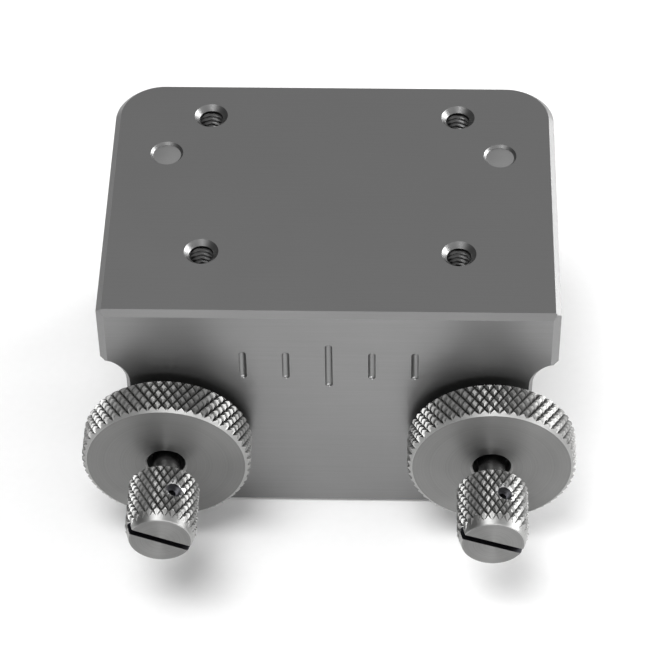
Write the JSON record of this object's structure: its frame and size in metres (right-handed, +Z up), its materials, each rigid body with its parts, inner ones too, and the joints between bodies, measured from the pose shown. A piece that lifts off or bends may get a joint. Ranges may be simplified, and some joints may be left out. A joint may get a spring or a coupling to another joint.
{
  "type": "watch movement holder",
  "caption": "Bridge-shaped aluminium holder with tapped mounting face, clamp jaw drawn by hollow knurled wheels, and fine clamping spindles through the wheels.",
  "frame": {"origin": "middle of the four tapped holes, on the flat top face", "axes": "+Z up out of the top face, +Y towards the rear wall, +X to the right seen from the wheels"},
  "size_m": [0.0698, 0.0669, 0.0402],
  "materials": {
    "block_aluminium": "satin brushed",
    "jaw_aluminium": "satin milled",
    "knurled_metal": "turned and knurled",
    "screw_steel": "turned",
    "pin_steel": "ground",
    "bush_brass": "turned",
    "pad_nylon": "matte",
    "tip_nylon": "matte",
    "dark_steel": "black oxide"
  },
  "bodies": {
    "block": {"body": "block_aluminium", "left_wall_bush": "bush_brass", "right_wall_bush": "bush_brass", "left_guide_rod": "pin_steel", "right_guide_rod": "pin_steel", "left_locating_post": "pin_steel", "right_locating_post": "pin_steel"},
    "jaw": {"clamp_jaw": "jaw_aluminium", "jaw_pad": "pad_nylon", "jaw_pad_screws": "screw_steel", "left_jaw_insert": "bush_brass", "left_keeper_plate": "pin_steel", "left_keeper_screws": "screw_steel", "right_jaw_insert": "bush_brass", "right_keeper_plate": "pin_steel", "right_keeper_screws": "screw_steel"},
    "left_wheel": {"left_wheel": "knurled_metal", "left_hollow_screw": "screw_steel"},
    "left_tip": {"left_swivel_tip": "tip_nylon"},
    "left_spindle": {"left_spindle": "screw_steel", "left_knob": "knurled_metal", "left_knob_set_screw": "dark_steel"},
    "right_wheel": {"right_wheel": "knurled_metal", "right_hollow_screw": "screw_steel"},
    "right_tip": {"right_swivel_tip": "tip_nylon"},
    "right_spindle": {"right_spindle": "screw_steel", "right_knob": "knurled_metal", "right_knob_set_screw": "dark_steel"}
  },
  "joints": [
    {"name": "jaw_slide", "type": "slide", "parent": "block", "child": "jaw", "axis": [0, 1, 0], "range_m": [-0.0052, 0.0012]},
    {"name": "left_wheel_turn", "type": "hinge", "parent": "jaw", "child": "left_wheel", "pos_m": [-0.023, -0.02565, -0.02385], "axis": [0, 1, 0], "range_deg": [-1873, 433]},
    {"name": "left_tip_slide", "type": "slide", "parent": "jaw", "child": "left_tip", "axis": [0, 1, 0], "range_m": [0, 0.004]},
    {"name": "left_spindle_turn", "type": "hinge", "parent": "left_tip", "child": "left_spindle", "pos_m": [-0.023, -0.02565, -0.02385], "axis": [0, 1, 0], "range_deg": [0, 2058]},
    {"name": "right_wheel_turn", "type": "hinge", "parent": "jaw", "child": "right_wheel", "pos_m": [0.023, -0.02565, -0.02385], "axis": [0, 1, 0], "range_deg": [-1873, 433]},
    {"name": "right_tip_slide", "type": "slide", "parent": "jaw", "child": "right_tip", "axis": [0, 1, 0], "range_m": [0, 0.004]},
    {"name": "right_spindle_turn", "type": "hinge", "parent": "right_tip", "child": "right_spindle", "pos_m": [0.023, -0.02565, -0.02385], "axis": [0, 1, 0], "range_deg": [0, 2058]}
  ],
  "couplings": [
    {"joint": "left_wheel_turn", "follows": "jaw_slide", "rad_per_m": 6283.2},
    {"joint": "left_spindle_turn", "follows": "left_tip_slide", "rad_per_m": 8976},
    {"joint": "right_wheel_turn", "follows": "jaw_slide", "rad_per_m": 6283.2},
    {"joint": "right_spindle_turn", "follows": "right_tip_slide", "rad_per_m": 8976}
  ]
}
